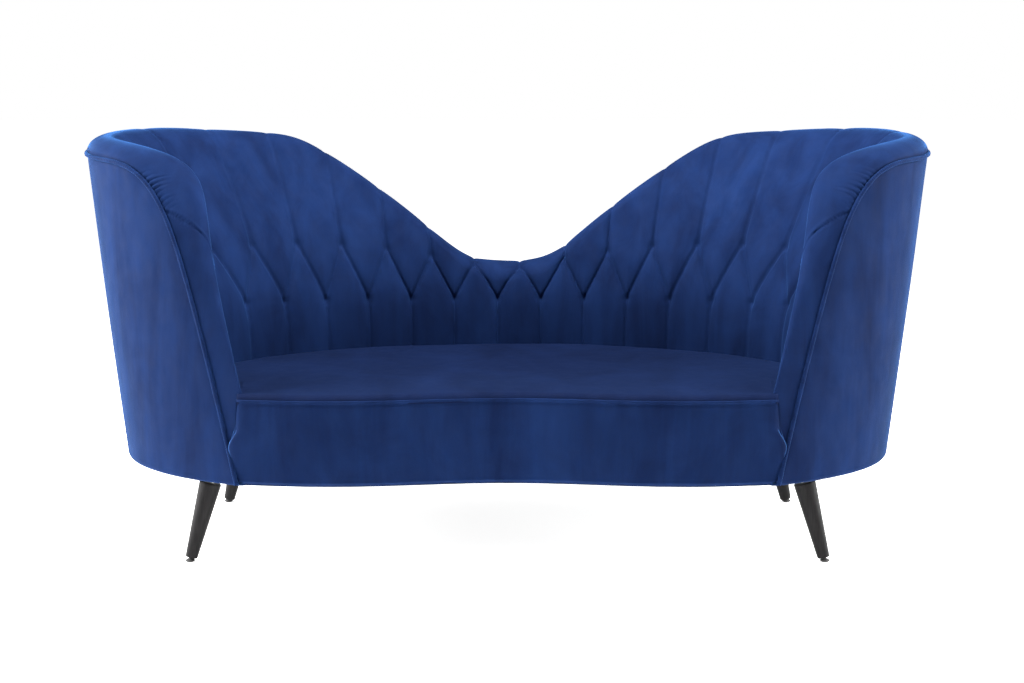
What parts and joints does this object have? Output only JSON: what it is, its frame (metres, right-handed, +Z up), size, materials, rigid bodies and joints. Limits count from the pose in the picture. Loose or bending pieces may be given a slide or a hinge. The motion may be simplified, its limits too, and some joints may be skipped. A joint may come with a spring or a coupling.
{
  "type": "sofa",
  "caption": "Small curved velvet sofa whose back dips in the middle and rises into wrap-round winged arms, on four splayed tapered legs.",
  "frame": {"origin": "on the floor, under the middle of the sofa's width and depth", "axes": "+X to the right as seen from the front, -Y to the front where the sitter faces, +Z up"},
  "size_m": [1.8936, 0.8297, 0.8997],
  "materials": {
    "velvet": "short-pile royal blue velvet, matt with a bright sheen at grazing angles",
    "velvet_welt": "same blue velvet wrapped on cord",
    "black_lining": "thin black non-woven lining",
    "webbing": "woven elastic upholstery webbing",
    "foam": "cut polyurethane foam",
    "steel": "zinc-plated steel",
    "leg_wood": "turned hardwood, black satin paint with the grain just showing",
    "glide": "black nylon",
    "frame_wood": "raw softwood and bent plywood"
  },
  "bodies": {
    "root": {"arm_front_cover_left": "velvet", "arm_front_cover_right": "velvet", "arm_front_padding_left": "foam", "arm_front_padding_right": "foam", "arm_front_roll_left": "foam", "arm_front_roll_right": "foam", "arm_posts": "frame_wood", "back_edge_roll": "foam", "back_posts_inner": "frame_wood", "back_posts_outer": "frame_wood", "back_webbing": "webbing", "base_rail_front": "frame_wood", "base_rail_left": "frame_wood", "base_rail_rear": "frame_wood", "base_rail_right": "frame_wood", "corner_block_left": "frame_wood", "corner_block_right": "frame_wood", "cross_rails": "frame_wood", "dust_cover": "black_lining", "edge_welt_left": "velvet_welt", "edge_welt_right": "velvet_welt", "foot_glide_front_left": "glide", "foot_glide_front_right": "glide", "foot_glide_rear_left": "glide", "foot_glide_rear_right": "glide", "front_border_cover": "velvet", "front_border_padding": "foam", "inside_back_cover": "velvet", "inside_back_padding": "foam", "leg_bolts": "steel", "leg_front_left": "leg_wood", "leg_front_right": "leg_wood", "leg_mounting_plates": "steel", "leg_rail_left": "frame_wood", "leg_rail_right": "frame_wood", "leg_rear_left": "leg_wood", "leg_rear_right": "leg_wood", "outside_arm_cover_left": "velvet", "outside_arm_cover_right": "velvet", "outside_back_cover": "velvet", "plate_screws": "steel", "seat_cover": "velvet", "seat_foam": "foam", "seat_springs": "steel", "side_posts": "frame_wood", "spring_clips": "steel", "spring_deck_cloth": "black_lining", "spring_rail_rear": "frame_wood", "tacking_rail": "frame_wood", "top_rail_back": "frame_wood", "top_rail_left": "frame_wood", "top_rail_right": "frame_wood", "wing_edge_roll_left": "foam", "wing_edge_roll_right": "foam", "wing_padding_left": "foam", "wing_padding_right": "foam", "wing_posts": "frame_wood"}
  },
  "joints": []
}
